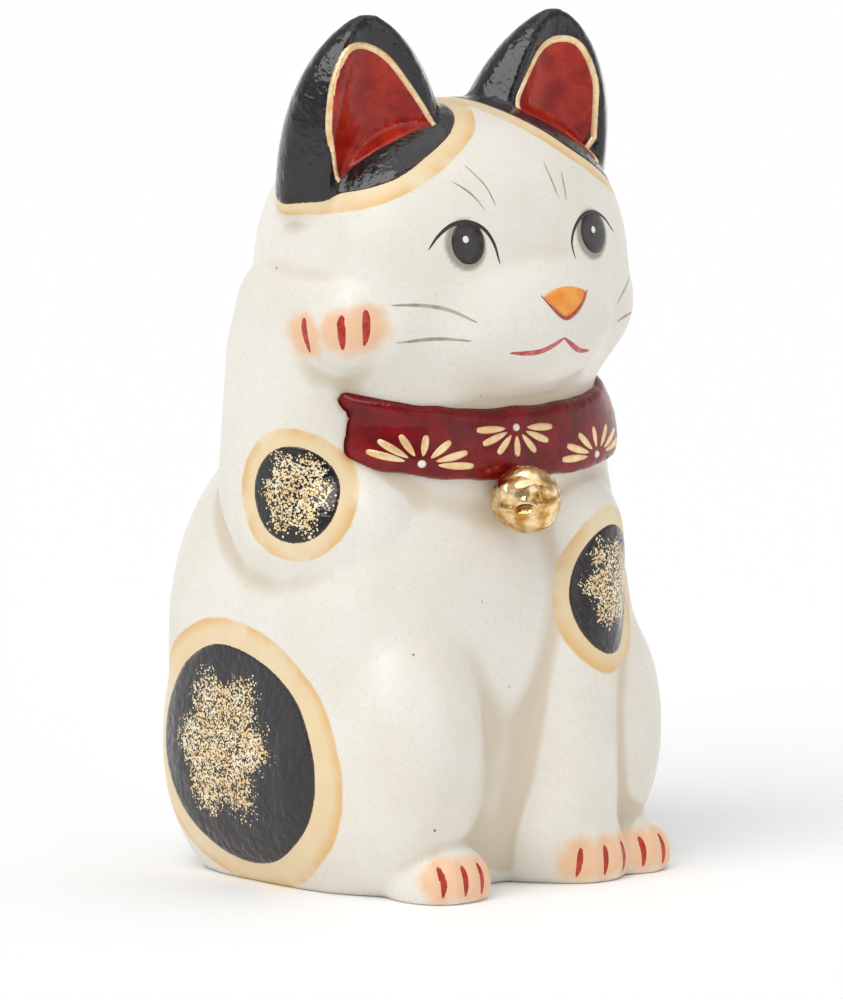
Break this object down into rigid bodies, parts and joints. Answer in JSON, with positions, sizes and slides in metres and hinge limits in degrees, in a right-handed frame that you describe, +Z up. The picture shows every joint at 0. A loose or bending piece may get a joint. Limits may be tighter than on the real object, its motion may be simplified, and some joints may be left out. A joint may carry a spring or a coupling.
{
  "type": "beckoning cat figurine",
  "caption": "Seated cat figurine of hollow glazed ceramic with one paw raised beside its head, a collar and a round bell.",
  "frame": {"origin": "centre of the footprint, on the surface that the cat stands on", "axes": "+Z up, -Y the way the cat faces, -X the side of its raised right paw"},
  "size_m": [0.08, 0.08, 0.16],
  "materials": {
    "white_glaze": "satin cream-white glaze with fine dark specks, and painted features",
    "ear_enamel": "glossy black enamel, red inside, with a gold rim",
    "collar_enamel": "glossy dark red enamel with gold flowers",
    "gold_lustre": "gold lustre fired on hammered clay",
    "bare_clay": "unglazed fired clay"
  },
  "bodies": {
    "root": {"torso_shell": "white_glaze", "head_shell": "white_glaze", "right_arm": "white_glaze", "left_foreleg": "white_glaze", "right_hind_foot": "white_glaze", "left_hind_foot": "white_glaze", "tail": "white_glaze", "right_ear": "ear_enamel", "left_ear": "ear_enamel", "collar": "collar_enamel", "bell": "gold_lustre", "base_slab": "bare_clay"}
  },
  "joints": []
}
